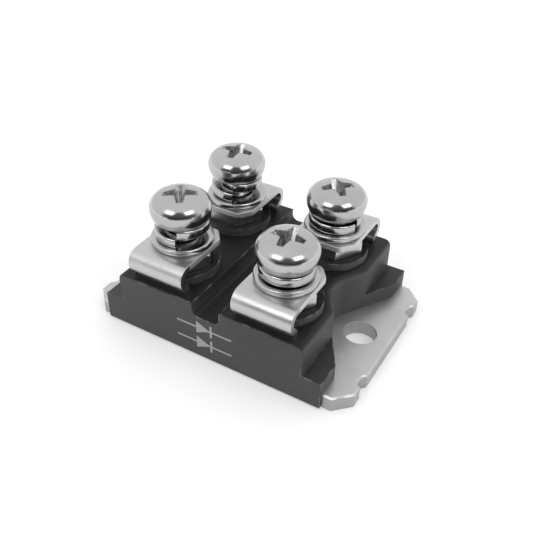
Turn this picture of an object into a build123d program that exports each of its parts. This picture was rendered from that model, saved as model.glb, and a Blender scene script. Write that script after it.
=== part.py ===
from build123d import *
from math import cos, hypot, pi, radians, sin, tan
import os

# Diode power module with four screw terminals, in millimetres. The origin is the centre of
# the mounting face, X runs along the length, Y across it and Z up.

# Layout: the spacing of the terminal screws, from which the housing and the plate follow
TERMINAL_PITCH_X = 15.0
TERMINAL_PITCH_Y = 12.7

# Nickel-plated copper baseplate and its mounting holes
PLATE_THICKNESS = 2.0
PLATE_CORNER_CUT = 2.0
PLATE_EDGE_CHAMFER = 0.25
PLATE_NOTCH_INSET = 4.55
PLATE_NOTCH_RADIUS = 1.15
PLATE_NOTCH_DEPTH = 0.6
PLATE_SIDE_GAP = 0.05
MOUNTING_HOLE = 4.2
MOUNTING_INSET = 3.95

# Moulded housing
SCREW_TO_SIDE = 6.3
SKIRT_WALL = 0.45
SIDE_WALL = 1.1
FOOT_GAP = 0.2
LEDGE_HEIGHT = 4.1
LEDGE_PAST_HOLE = 0.7
BLOCK_SHORT_OF_HOLE = 1.8
BLOCK_SIDE_CHAMFER = 0.15
BLOCK_END_ROUND = 0.9
RECESS_RADIUS = 4.0
RECESS_WALL = 1.1
RECESS_FLARE_ANGLE = 59.0
TRENCH_WIDTH = 3.9
TRENCH_DEPTH = 1.8
TRENCH_ROUND = 0.9
COLLAR_WALL = 0.49
COLLAR_RISE = 1.0
WELL_FLOOR = 0.7
WELL_GAP = 0.35

# Terminals, folded from flat strip
STRIP_THICKNESS = 0.8
TAB_WIDTH = 8.0
TAB_END_REACH = 4.1
TAB_CORNER_CUT_X = 1.3
TAB_CORNER_CUT_Y = 1.7
TAB_CORNER_ROUND = 0.8
TAB_SLOT_GAP = 0.15
TAB_SLOT_PLAY = 0.6
FOLD_INSET = 0.2
FOLD_BEND_RADIUS = 1.3
FOLD_STRAIGHT = 0.05
FOLD_RETURN_ANGLE = 50.0
FOLD_TO_DECK = 0.5
LEG_WALL_GAP = 0.1
LEG_END_GAP = 0.5
LEG_WIDTH = 4.0
LEG_SHOULDER_DEPTH = 0.9
LEG_BEND_RADIUS = 0.6
LEG_SLOT_GAP = 0.05
FOOT_REACH = 2.6
FOOT_BEND_RADIUS = 0.6

# Hexagon nuts under the tabs
NUT_ACROSS_FLATS = 7.0
NUT_HEIGHT = 3.2
NUT_THREAD_GAP = 0.05
NUT_CHAMFER_ANGLE = 30.0
NUT_POCKET_GAP = 0.1

# Flat washers, split washers and pan-head screws
FLAT_WASHER_DIAMETER = 8.0
FLAT_WASHER_THICKNESS = 0.8
SPLIT_WASHER_WIDTH = 1.3
SPLIT_WASHER_THICKNESS = 0.95
SPLIT_WASHER_OPENING_ANGLE = 5.0
WASHER_BORE_GAP = 0.2
SCREW_DIAMETER = 3.9
SCREW_LENGTH = 8.0
SCREW_POINT_CHAMFER = 0.4
SCREW_POINT_GAP = 0.9
HEAD_DIAMETER = 7.7
HEAD_UNDERCUT = 0.45
HEAD_WIDEST_HEIGHT = 1.5
HEAD_HEIGHT = 3.5
HEAD_CROWN_RISE = 0.3
CROSS_MOUTH_SPAN = 4.9
CROSS_MOUTH_TIP = 0.8
CROSS_MOUTH_RISE = 0.2
CROSS_BOTTOM_SPAN = 1.5
CROSS_BOTTOM_TIP = 0.5
CROSS_ARM_ANGLE = 9.7
CROSS_DEPTH = 2.2

# Parts sealed inside the housing
SOLDER_THICKNESS = 0.15
COPPER_THICKNESS = 0.3
COPPER_MARGIN = 0.3
CERAMIC_THICKNESS = 0.63
CERAMIC_END_GAP = 0.3
CERAMIC_SIDE_GAP = 1.35
PAD_SPACING = 1.0
PAD_SPLIT_Y = -2.6
DIE_SIZE = 4.6
DIE_THICKNESS = 0.25
DIE_PAD_GAP = 1.2
RIBBON_COUNT = 3
RIBBON_WIDTH = 1.1
RIBBON_THICKNESS = 0.2
RIBBON_PITCH = 1.4
RIBBON_FOOT = 0.9
RIBBON_SLOPE_RUN = 0.9
RIBBON_LANDING_GAP = 1.3
RIBBON_RISE = 0.75
RIBBON_ROOM = 0.52

# The four terminals by name, how far each cross recess is turned from X, and how high each
# split washer stands and the direction in which it opens
TERMINALS = ("front_left", "front_right", "rear_left", "rear_right")
CROSS_ANGLES = {"front_left": 35.0, "front_right": 1.0, "rear_left": 7.0, "rear_right": 43.0}
SPLIT_WASHER_HEIGHTS = {"front_left": 2.55, "front_right": 1.7, "rear_left": 2.75, "rear_right": 1.85}
OPENING_ANGLES = {"front_left": -66.0, "front_right": 121.0, "rear_left": -67.0, "rear_right": -16.0}

# Lengths along X, from the terminals outwards
CAVITY_LENGTH = TERMINAL_PITCH_X + LEG_WIDTH + 2 * LEG_END_GAP
MOUNTING_PITCH = CAVITY_LENGTH + 2 * (RECESS_WALL + RECESS_RADIUS)
PLATE_LENGTH = MOUNTING_PITCH + 2 * MOUNTING_INSET
HOUSING_LENGTH = MOUNTING_PITCH + 2 * LEDGE_PAST_HOLE
BLOCK_LENGTH = MOUNTING_PITCH - 2 * BLOCK_SHORT_OF_HOLE
CERAMIC_LENGTH = CAVITY_LENGTH - 2 * CERAMIC_END_GAP
COPPER_LENGTH = CERAMIC_LENGTH - 2 * COPPER_MARGIN

# Widths along Y, from the terminals outwards
HOUSING_WIDTH = TERMINAL_PITCH_Y + 2 * SCREW_TO_SIDE
PLATE_WIDTH = HOUSING_WIDTH - 2 * (SKIRT_WALL + PLATE_SIDE_GAP)
CAVITY_WIDTH = HOUSING_WIDTH - 2 * SIDE_WALL
CERAMIC_WIDTH = CAVITY_WIDTH - 2 * CERAMIC_SIDE_GAP
COPPER_WIDTH = CERAMIC_WIDTH - 2 * COPPER_MARGIN
TAB_END_Y = TERMINAL_PITCH_Y / 2 - TAB_END_REACH
FOLD_Y = HOUSING_WIDTH / 2 - FOLD_INSET - STRIP_THICKNESS / 2
LEG_Y = CAVITY_WIDTH / 2 - LEG_WALL_GAP - STRIP_THICKNESS / 2

# Places of the dies and of the ribbons' landings
DIE_X = (PAD_SPACING + COPPER_LENGTH) / 4
DIE_Y = PAD_SPLIT_Y + PAD_SPACING / 2 + DIE_PAD_GAP + DIE_SIZE / 2
LANDING_Y = PAD_SPLIT_Y - PAD_SPACING / 2 - RIBBON_LANDING_GAP

# Diameters that follow
NUT_BORE = SCREW_DIAMETER + 2 * NUT_THREAD_GAP
WELL_DIAMETER = SCREW_DIAMETER + 2 * WELL_GAP
TAB_SLOT_WIDTH = SCREW_DIAMETER + 2 * TAB_SLOT_GAP
WASHER_BORE = SCREW_DIAMETER + 2 * WASHER_BORE_GAP
POCKET_ACROSS_FLATS = NUT_ACROSS_FLATS + 2 * NUT_POCKET_GAP
COLLAR_DIAMETER = POCKET_ACROSS_FLATS / cos(pi / 6) + 2 * COLLAR_WALL

# Levels from the plate up: the layers inside, then the terminals and their fasteners
COPPER_BOTTOM = PLATE_THICKNESS + SOLDER_THICKNESS
CERAMIC_BOTTOM = COPPER_BOTTOM + COPPER_THICKNESS
PAD_BOTTOM = CERAMIC_BOTTOM + CERAMIC_THICKNESS
PAD_TOP = PAD_BOTTOM + COPPER_THICKNESS
DIE_TOP = PAD_TOP + DIE_THICKNESS
CAVITY_TOP = DIE_TOP + RIBBON_RISE + RIBBON_ROOM
WELL_BOTTOM = CAVITY_TOP + WELL_FLOOR
FLAT_WASHER_TOP = WELL_BOTTOM + SCREW_POINT_GAP + SCREW_LENGTH - min(SPLIT_WASHER_HEIGHTS.values())
TAB_TOP = FLAT_WASHER_TOP - FLAT_WASHER_THICKNESS
TAB_MIDDLE = TAB_TOP - STRIP_THICKNESS / 2
TAB_BOTTOM = TAB_TOP - STRIP_THICKNESS
NUT_BOTTOM = TAB_BOTTOM - NUT_HEIGHT

# Levels of the fold, and of the housing under it
RETURN_Z = TAB_MIDDLE - FOLD_BEND_RADIUS * (1 + tan(radians(FOLD_RETURN_ANGLE / 2))) - FOLD_STRAIGHT
LEG_BEND_Z = RETURN_Z - (FOLD_Y - LEG_Y) / tan(radians(FOLD_RETURN_ANGLE))
BLOCK_TOP = LEG_BEND_Z - FOLD_TO_DECK
LEG_SHOULDER = BLOCK_TOP - LEG_SHOULDER_DEPTH
TRENCH_FLOOR = BLOCK_TOP - TRENCH_DEPTH
COLLAR_TOP = BLOCK_TOP + COLLAR_RISE


def box_between(x0, x1, y0, y1, z0, z1):
    """A box given by its six faces."""
    centre = Location(((x0 + x1) / 2, (y0 + y1) / 2, (z0 + z1) / 2))
    return centre * Box(x1 - x0, y1 - y0, z1 - z0)


def centred_box(length, width, z0, z1):
    """A box centred on the vertical axis."""
    return box_between(-length / 2, length / 2, -width / 2, width / 2, z0, z1)


def upright_cylinder(diameter, z0, z1):
    """A cylinder on the vertical axis."""
    return Location((0, 0, (z0 + z1) / 2)) * Cylinder(diameter / 2, z1 - z0)


def hexagon(across_flats):
    """A hexagon with two flats across Y."""
    return RegularPolygon(across_flats / 2, 6, major_radius=False)


def end_of(name):
    """The end of the module that a name belongs to, as the sign of its X."""
    return -1 if name.endswith("left") else 1


def side_of(name):
    """The long side of the module that a terminal stands at, as the sign of its Y."""
    return -1 if name.startswith("front") else 1


def screw_axis(name):
    """The place of one terminal's screw in plan."""
    return (end_of(name) * TERMINAL_PITCH_X / 2, side_of(name) * TERMINAL_PITCH_Y / 2)


def at_screws(make):
    """The fasteners that make(name) gives, each on its screw axis, as a group of separate solids."""
    return Compound(children=[Location(screw_axis(name)) * make(name) for name in TERMINALS])


def make_baseplate():
    """The plate, with cut corners, a notch beside each corner and the two mounting holes."""
    outline = Rectangle(PLATE_LENGTH, PLATE_WIDTH)
    outline = chamfer(outline.vertices(), PLATE_CORNER_CUT)
    notch_x = PLATE_LENGTH / 2 + PLATE_NOTCH_RADIUS - PLATE_NOTCH_DEPTH
    notch_y = PLATE_WIDTH / 2 - PLATE_NOTCH_INSET
    for end in (-1, 1):
        for side in (-1, 1):
            outline -= Location((end * notch_x, side * notch_y)) * Circle(PLATE_NOTCH_RADIUS)
    plate = extrude(outline, PLATE_THICKNESS)
    plate = chamfer(plate.edges().group_by(Axis.Z)[-1], PLATE_EDGE_CHAMFER)
    for end in (-1, 1):
        hole = upright_cylinder(MOUNTING_HOLE, 0, PLATE_THICKNESS)
        plate -= Location((end * MOUNTING_PITCH / 2, 0, 0)) * hole
    return plate


def recess_outline():
    """Plan of one end recess: an arc round the mounting hole and two flares tangent to it."""
    centre_x = MOUNTING_PITCH / 2
    angle = radians(RECESS_FLARE_ANGLE)
    touch_x = centre_x - RECESS_RADIUS * sin(angle)
    touch_y = RECESS_RADIUS * cos(angle)
    outer_x = HOUSING_LENGTH / 2 + RECESS_RADIUS
    outer_y = touch_y + (outer_x - touch_x) * tan(angle)
    arc = ThreePointArc((touch_x, touch_y), (centre_x - RECESS_RADIUS, 0), (touch_x, -touch_y))
    flares = Polyline((touch_x, -touch_y), (outer_x, -outer_y), (outer_x, outer_y), (touch_x, touch_y))
    return make_face(arc.edges() + flares.edges())


def terminal_path(side):
    """Middle line of one strip: tab, fold, slanting return, leg and foot."""
    foot_z = PAD_TOP + STRIP_THICKNESS / 2
    points = (
        (TAB_END_Y, TAB_MIDDLE),
        (FOLD_Y, TAB_MIDDLE),
        (FOLD_Y, RETURN_Z),
        (LEG_Y, LEG_BEND_Z),
        (LEG_Y, foot_z),
        (LEG_Y - FOOT_REACH, foot_z),
    )
    placed = [(0, side * y, z) for y, z in points]
    radii = [FOLD_BEND_RADIUS, FOLD_BEND_RADIUS, LEG_BEND_RADIUS, FOOT_BEND_RADIUS]
    return FilletPolyline(*placed, radius=radii)


def make_terminal(name):
    """One terminal: a strip folded over its nut, with its leg inside the housing."""
    x, y = screw_axis(name)
    side = side_of(name)
    path = terminal_path(side)
    section = Plane(origin=path @ 0, x_dir=(1, 0, 0), z_dir=path % 0)
    strip = sweep(section * Rectangle(TAB_WIDTH, STRIP_THICKNESS), path)
    for end in (-1, 1):
        x0, x1 = sorted((end * LEG_WIDTH / 2, end * TAB_WIDTH))
        strip -= box_between(x0, x1, -HOUSING_WIDTH, HOUSING_WIDTH, 0, LEG_SHOULDER)
        corner = Polyline(
            (end * TAB_WIDTH / 2, side * TAB_END_Y),
            (end * (TAB_WIDTH / 2 - TAB_CORNER_CUT_X), side * TAB_END_Y),
            (end * TAB_WIDTH / 2, side * (TAB_END_Y + TAB_CORNER_CUT_Y)),
            close=True,
        )
        strip -= Location((0, 0, TAB_BOTTOM)) * extrude(make_face(corner), STRIP_THICKNESS)
    cut_edges = [e for e in strip.edges().filter_by(Axis.Z)
                 if e.center().Z > TAB_BOTTOM and abs(e.center().Y) < TERMINAL_PITCH_Y / 2]
    strip = fillet(cut_edges, TAB_CORNER_ROUND)
    slot = SlotOverall(TAB_SLOT_WIDTH + TAB_SLOT_PLAY, TAB_SLOT_WIDTH, rotation=90)
    strip -= Location((0, y, TAB_BOTTOM)) * extrude(slot, STRIP_THICKNESS)
    return Location((x, 0, 0)) * strip


def leg_clearance(name):
    """The space in the housing that one terminal's leg passes through."""
    x, _ = screw_axis(name)
    side = side_of(name)
    reach = STRIP_THICKNESS / 2 + LEG_SLOT_GAP
    y0, y1 = sorted((side * (LEG_Y - reach), side * (LEG_Y + reach)))
    half_tab = TAB_WIDTH / 2 + LEG_SLOT_GAP
    half_leg = LEG_WIDTH / 2 + LEG_SLOT_GAP
    upper = box_between(x - half_tab, x + half_tab, y0, y1, LEG_SHOULDER - LEG_SLOT_GAP, TAB_TOP)
    lower = box_between(x - half_leg, x + half_leg, y0, y1, CAVITY_TOP, LEG_SHOULDER)
    return upper + lower


def break_block_top(block):
    """The block with its top edges rounded at the ends and chamfered along the sides."""
    inner = HOUSING_WIDTH / 2 - BLOCK_SIDE_CHAMFER
    ends = [e for e in block.edges().group_by(Axis.Z)[-1] if abs(e.center().Y) < inner]
    block = fillet(ends, BLOCK_END_ROUND)
    sides = [e for e in block.edges().group_by(Axis.Z)[-1] if abs(e.center().Y) > inner]
    return chamfer(sides, BLOCK_SIDE_CHAMFER)


def make_housing():
    """The moulding: ledges, raised block, end recesses, trench, collars and pockets."""
    recess = extrude(recess_outline(), BLOCK_TOP)
    lower = centred_box(HOUSING_LENGTH, HOUSING_WIDTH, FOOT_GAP, LEDGE_HEIGHT)
    block = centred_box(BLOCK_LENGTH, HOUSING_WIDTH, FOOT_GAP, BLOCK_TOP)
    for cut in (recess, recess.mirror(Plane.YZ)):
        lower -= cut
        block -= cut
    body = lower + break_block_top(block)

    trench = Location((0, 0, TRENCH_FLOOR + BLOCK_TOP / 2)) * RectangleRounded(
        TRENCH_WIDTH, BLOCK_TOP, TRENCH_ROUND).rotate(Axis.X, 90)
    body -= extrude(trench, HOUSING_WIDTH, both=True)

    for name in TERMINALS:
        x, y = screw_axis(name)
        body += Location((x, y, 0)) * upright_cylinder(COLLAR_DIAMETER, TRENCH_FLOOR, COLLAR_TOP)
    for name in TERMINALS:
        x, y = screw_axis(name)
        body -= Location((x, y, NUT_BOTTOM)) * extrude(hexagon(POCKET_ACROSS_FLATS), COLLAR_TOP)
        body -= Location((x, y, 0)) * upright_cylinder(WELL_DIAMETER, WELL_BOTTOM, COLLAR_TOP)
        body -= leg_clearance(name)

    body -= centred_box(CAVITY_LENGTH, CAVITY_WIDTH, 0, CAVITY_TOP)
    plate_room = PLATE_WIDTH + 2 * PLATE_SIDE_GAP
    body -= centred_box(PLATE_LENGTH, plate_room, 0, PLATE_THICKNESS)
    return body


def make_nut():
    """A hexagon nut, chamfered on its upper side, standing in its pocket under the tab."""
    corner = NUT_ACROSS_FLATS / 2 / cos(pi / 6)
    drop = (corner - NUT_ACROSS_FLATS / 2) * tan(radians(NUT_CHAMFER_ANGLE))
    envelope = Polyline(
        (0, 0, 0),
        (corner, 0, 0),
        (corner, 0, NUT_HEIGHT - drop),
        (NUT_ACROSS_FLATS / 2, 0, NUT_HEIGHT),
        (0, 0, NUT_HEIGHT),
        close=True,
    )
    blank = extrude(hexagon(NUT_ACROSS_FLATS), NUT_HEIGHT)
    nut = blank & revolve(make_face(envelope), Axis.Z)
    nut -= upright_cylinder(NUT_BORE, 0, NUT_HEIGHT)
    return Location((0, 0, NUT_BOTTOM)) * nut


def make_flat_washer():
    """A plain washer lying on the tab."""
    ring = Circle(FLAT_WASHER_DIAMETER / 2) - Circle(WASHER_BORE / 2)
    return Location((0, 0, TAB_TOP)) * extrude(ring, FLAT_WASHER_THICKNESS)


def make_split_washer(name):
    """One turn of flat-sided wire, rising to the left, open at one place."""
    radius = (WASHER_BORE + SPLIT_WASHER_WIDTH) / 2
    rise = SPLIT_WASHER_HEIGHTS[name] - SPLIT_WASHER_THICKNESS
    turn = 1 - SPLIT_WASHER_OPENING_ANGLE / 360
    path = Helix(rise / turn, rise, radius, lefthand=True)
    section = Plane(origin=path @ 0, x_dir=(1, 0, 0), z_dir=path % 0)
    coil = sweep(section * Rectangle(SPLIT_WASHER_WIDTH, SPLIT_WASHER_THICKNESS), path, is_frenet=True)
    level = FLAT_WASHER_TOP + SPLIT_WASHER_THICKNESS / 2
    start = OPENING_ANGLES[name] - SPLIT_WASHER_OPENING_ANGLE / 2
    return Location((0, 0, level), (0, 0, start)) * coil


def head_outline():
    """Half section of the head: barrel side, round shoulder and shallow crown, tangent to each other."""
    widest = (HEAD_DIAMETER / 2, 0, HEAD_WIDEST_HEIGHT)
    above = HEAD_HEIGHT - HEAD_WIDEST_HEIGHT
    shoulder = above - HEAD_CROWN_RISE
    centre_x = HEAD_DIAMETER / 2 - shoulder
    crown = (centre_x ** 2 + above ** 2 - shoulder ** 2) / (2 * HEAD_CROWN_RISE)
    share = crown / hypot(centre_x, crown - above)
    top = (0, 0, HEAD_HEIGHT)
    meeting = (centre_x * share, 0, HEAD_HEIGHT - crown + (crown - above) * share)
    return (
        TangentArc(widest, (HEAD_DIAMETER / 2 - HEAD_UNDERCUT, 0, 0), tangent=(0, 0, -1)).edges()
        + TangentArc(widest, meeting, tangent=(0, 0, 1)).edges()
        + TangentArc(top, meeting, tangent=(1, 0, 0)).edges()
    )


def cross_arm(span, tip_width, z):
    """Outline of two opposite arms of the cross recess, widest in the middle."""
    root_width = tip_width + span * tan(radians(CROSS_ARM_ANGLE))
    corners = (
        (-span / 2, -tip_width / 2),
        (0, -root_width / 2),
        (span / 2, -tip_width / 2),
        (span / 2, tip_width / 2),
        (0, root_width / 2),
        (-span / 2, tip_width / 2),
    )
    return Location((0, 0, z)) * make_face(Polyline(*corners, close=True))


def make_screw(name):
    """A pan-head screw with a cross recess."""
    shank = SCREW_DIAMETER / 2
    rest = Polyline(
        (0, 0, HEAD_HEIGHT),
        (0, 0, -SCREW_LENGTH),
        (shank - SCREW_POINT_CHAMFER, 0, -SCREW_LENGTH),
        (shank, 0, SCREW_POINT_CHAMFER - SCREW_LENGTH),
        (shank, 0, 0),
        (HEAD_DIAMETER / 2 - HEAD_UNDERCUT, 0, 0),
    )
    screw = revolve(make_face(head_outline() + rest.edges()), Axis.Z)
    mouth = cross_arm(CROSS_MOUTH_SPAN, CROSS_MOUTH_TIP, HEAD_HEIGHT + CROSS_MOUTH_RISE)
    bottom = cross_arm(CROSS_BOTTOM_SPAN, CROSS_BOTTOM_TIP, HEAD_HEIGHT - CROSS_DEPTH)
    arms = loft([mouth, bottom], ruled=True)
    screw -= arms
    screw -= arms.rotate(Axis.Z, 90)
    seat = FLAT_WASHER_TOP + SPLIT_WASHER_HEIGHTS[name]
    return Location((0, 0, seat), (0, 0, CROSS_ANGLES[name])) * screw


def make_pad(name):
    """One copper pad on the ceramic, which one terminal's foot stands on."""
    x0, x1 = sorted((end_of(name) * PAD_SPACING / 2, end_of(name) * COPPER_LENGTH / 2))
    split = PAD_SPLIT_Y + side_of(name) * PAD_SPACING / 2
    y0, y1 = sorted((split, side_of(name) * COPPER_WIDTH / 2))
    return box_between(x0, x1, y0, y1, PAD_BOTTOM, PAD_TOP)


def make_die(name):
    """One silicon carbide diode, on the rear pad of its end."""
    return Location((end_of(name) * DIE_X, DIE_Y, 0)) * centred_box(DIE_SIZE, DIE_SIZE, PAD_TOP, DIE_TOP)


def make_bond_ribbons(name):
    """Aluminium ribbons from the top of the die to the front pad of its end."""
    die_level = DIE_TOP + RIBBON_THICKNESS / 2
    pad_level = PAD_TOP + RIBBON_THICKNESS / 2
    crest_level = DIE_TOP + RIBBON_RISE - RIBBON_THICKNESS / 2
    points = (
        (DIE_Y, die_level),
        (DIE_Y - RIBBON_FOOT, die_level),
        (DIE_Y - RIBBON_FOOT - RIBBON_SLOPE_RUN, crest_level),
        (LANDING_Y + RIBBON_SLOPE_RUN, crest_level),
        (LANDING_Y, pad_level),
        (LANDING_Y - RIBBON_FOOT, pad_level),
    )
    ribbons = []
    for index in range(RIBBON_COUNT):
        x = end_of(name) * DIE_X + (index - (RIBBON_COUNT - 1) / 2) * RIBBON_PITCH
        path = Polyline(*[(x, y, z) for y, z in points])
        section = Plane(origin=path @ 0, x_dir=(1, 0, 0), z_dir=path % 0)
        outline = section * Rectangle(RIBBON_WIDTH, RIBBON_THICKNESS)
        ribbons.append(sweep(outline, path, transition=Transition.RIGHT))
    return Compound(children=ribbons)


def make_gel(sealed):
    """Soft filling of the cavity, round everything that stands in it."""
    gel = centred_box(CAVITY_LENGTH, CAVITY_WIDTH, PLATE_THICKNESS, CAVITY_TOP)
    for solid in sealed:
        gel -= solid
    return gel


def build_module():
    """Every piece of the module, by name."""
    pieces = {
        "baseplate": make_baseplate(),
        "housing": make_housing(),
        "substrate_solder": centred_box(COPPER_LENGTH, COPPER_WIDTH, PLATE_THICKNESS, COPPER_BOTTOM),
        "substrate_bottom_copper": centred_box(COPPER_LENGTH, COPPER_WIDTH, COPPER_BOTTOM, CERAMIC_BOTTOM),
        "ceramic_substrate": centred_box(CERAMIC_LENGTH, CERAMIC_WIDTH, CERAMIC_BOTTOM, PAD_BOTTOM),
    }
    for name in TERMINALS:
        pieces["copper_pad_" + name] = make_pad(name)
        pieces["terminal_" + name] = make_terminal(name)
    for name in ("left", "right"):
        pieces["diode_die_" + name] = make_die(name)
        pieces["bond_ribbons_" + name] = make_bond_ribbons(name)
    sealed = [solid for name, solid in pieces.items() if name not in ("baseplate", "housing")]
    pieces["gel_filling"] = make_gel(sealed)
    pieces["hex_nuts"] = at_screws(lambda name: make_nut())
    pieces["flat_washers"] = at_screws(lambda name: make_flat_washer())
    pieces["split_washers"] = at_screws(make_split_washer)
    pieces["terminal_screws"] = at_screws(make_screw)
    return pieces


os.makedirs("parts", exist_ok=True)
for node, shape in build_module().items():
    export_step(shape, "parts/" + node + ".step")
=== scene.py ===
import math

import bmesh
import bpy
from mathutils import Matrix, Vector


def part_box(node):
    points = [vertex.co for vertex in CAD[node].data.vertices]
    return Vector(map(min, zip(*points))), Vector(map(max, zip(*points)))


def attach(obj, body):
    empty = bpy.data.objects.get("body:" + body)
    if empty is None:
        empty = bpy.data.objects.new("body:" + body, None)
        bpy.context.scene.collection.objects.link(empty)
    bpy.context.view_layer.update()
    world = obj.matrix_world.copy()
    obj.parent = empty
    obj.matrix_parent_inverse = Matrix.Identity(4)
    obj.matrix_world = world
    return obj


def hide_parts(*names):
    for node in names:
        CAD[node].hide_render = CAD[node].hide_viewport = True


bl_info = {
    "name": "Diode module",
    "version": (1, 0, 0),
    "blender": (4, 5, 0),
    "location": "3D View > Sidebar > Diode Module",
    "description": "Builds a diode module with four screw terminals, and a studio to show it in",
    "category": "Add Mesh",
}

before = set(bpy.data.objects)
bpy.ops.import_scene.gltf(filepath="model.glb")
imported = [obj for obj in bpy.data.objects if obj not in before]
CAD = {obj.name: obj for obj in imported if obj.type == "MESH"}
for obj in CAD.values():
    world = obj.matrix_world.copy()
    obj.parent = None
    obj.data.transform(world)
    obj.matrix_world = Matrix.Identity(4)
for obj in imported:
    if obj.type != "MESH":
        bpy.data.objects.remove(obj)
MM = 0.001
TERMINALS = ("front_left", "front_right", "rear_left", "rear_right")

# The camera in pixels of a square picture: its side, the focal length, and the point straight ahead
# of the lens, counted from the top left corner
IMAGE_SIDE = 550
FOCAL_LENGTH = 690.706
STRAIGHT_AHEAD = (259.413, 270.073)
AIM_HEIGHT = 6 * MM

# The two soft boxes: azimuth and elevation in degrees, size, distance and the height that they face
LEFT_BOX = (-13, 43)
RIGHT_BOX = (71, 42)
BOX_WIDTH = 0.25
BOX_HEIGHT = 0.23
BOX_DISTANCE = 0.5
LAMP_AIM_HEIGHT = 12 * MM

# The strip of dark cloth behind the camera, with half its arc as a cosine
CLOTH_RADIUS = 0.125
CLOTH_HEIGHT = 0.045
CLOTH_ARC = 0.72

# The paper floor: its reach, its gap under the module, and where and how much its glow grows
FLOOR_REACH = 1.5
FLOOR_GAP = 0.02 * MM
GLOW_RANGE = (0.06, 0.3)
GLOW_RISE = 0.4

# The room: where the ceiling begins, by height, and the near side, by the turn towards the camera
CEILING_RANGE = (0.76, 0.9)
NEAR_SIDE_RANGE = (0.3, 0.62)

# Steps of turned and wound shapes, the distance under which two points are one, the angle under
# which two faces are one flat, and the angle up to which shading runs on
TURNED_STEPS = 112
WOUND_STEPS = 88
SAME_POINT = 0.0005 * MM
FLAT_ANGLE = math.radians(0.6)
SMOOTH_ANGLE = math.radians(38)


def tone(code):
    """A colour written as in a paint program, as the linear values that Blender works in."""
    values = []
    for start in (0, 2, 4):
        value = int(code[start:start + 2], 16) / 255
        values.append(value / 12.92 if value <= 0.04045 else ((value + 0.055) / 1.055) ** 2.4)
    return (*values, 1.0)


def length_property(name, description, millimetres):
    """A size that the panel shows as a length."""
    return bpy.props.FloatProperty(name=name, description=description, default=millimetres * MM,
                                   min=0.0, precision=5, unit="LENGTH")


def colour_property(name, description, code):
    """A colour that the panel shows as a swatch."""
    return bpy.props.FloatVectorProperty(name=name, description=description, size=4, min=0.0, max=1.0,
                                         subtype="COLOR", default=tone(code))


def angle_property(name, description, degrees):
    """An angle that the panel shows in degrees."""
    return bpy.props.FloatProperty(name=name, description=description, subtype="ANGLE", unit="ROTATION",
                                   default=math.radians(degrees))


def number_property(name, description, value):
    """A plain number that isn't below zero."""
    return bpy.props.FloatProperty(name=name, description=description, default=value, min=0.0)


class ModuleSizes(bpy.types.PropertyGroup):
    """Sizes of what the finished pieces add to the solid model or make anew."""

    mould_edge: length_property("Moulded edge", "Rounding of the moulding's sharp edges", 0.12)
    plate_edge: length_property("Plate edge", "Rounding of the stamped edges of the baseplate", 0.05)
    strip_edge: length_property("Strip edge", "Rounding of the cut edges of the terminals", 0.08)
    nut_edge: length_property("Nut edge", "Rounding of the corners of the nuts", 0.1)
    washer_edge: length_property("Washer edge", "Rounding of the edges of the flat washers", 0.22)
    washer_play: length_property("Washer play", "Gap between the screws and their washers' bores", 0.2)
    wire_edge: length_property("Split washer edge", "Rounding of the wire of the split washers", 0.26)
    wire_width: length_property("Split washer width", "Width of the wire of the split washers", 1.3)
    wire_thickness: length_property("Split washer thickness", "Thickness of that wire", 1.25)
    wire_gap: angle_property("Split washer gap", "How far each split washer stands open", 5.0)
    screw_diameter: length_property("Screw diameter", "Diameter of the screws' shanks", 3.9)
    screw_length: length_property("Screw length", "Length of the screws under the head", 8.0)
    screw_point: length_property("Screw point", "Chamfer at the screws' points", 0.4)
    head_diameter: length_property("Head diameter", "Widest diameter of the screw heads", 7.7)
    head_height: length_property("Head height", "Height of the screw heads", 3.5)
    head_widest: length_property("Widest level", "Height at which the heads are widest", 1.5)
    head_undercut: length_property("Head undercut", "How far the heads draw in towards their seat", 0.45)
    crown_rise: length_property("Crown rise", "How far the crown domes above the shoulder", 0.3)
    recess_mouth: length_property("Cross recess span", "Width of the cross recess at its mouth", 4.9)
    recess_mouth_tip: length_property("Cross recess tip", "Width of each arm's tip at the mouth", 0.8)
    recess_bottom_tip: length_property("Cross recess bottom tip", "Width of each tip at the bottom", 0.5)
    recess_flare: angle_property("Cross recess flare", "How fast each arm widens towards the middle", 9.7)
    recess_bottom: length_property("Cross recess bottom", "Width of the cross recess at its bottom", 1.5)
    recess_depth: length_property("Cross recess depth", "Depth of the cross recess", 2.2)
    recess_edge: length_property("Cross recess edge", "Rounding of the edge of the cross recess", 0.07)


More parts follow.
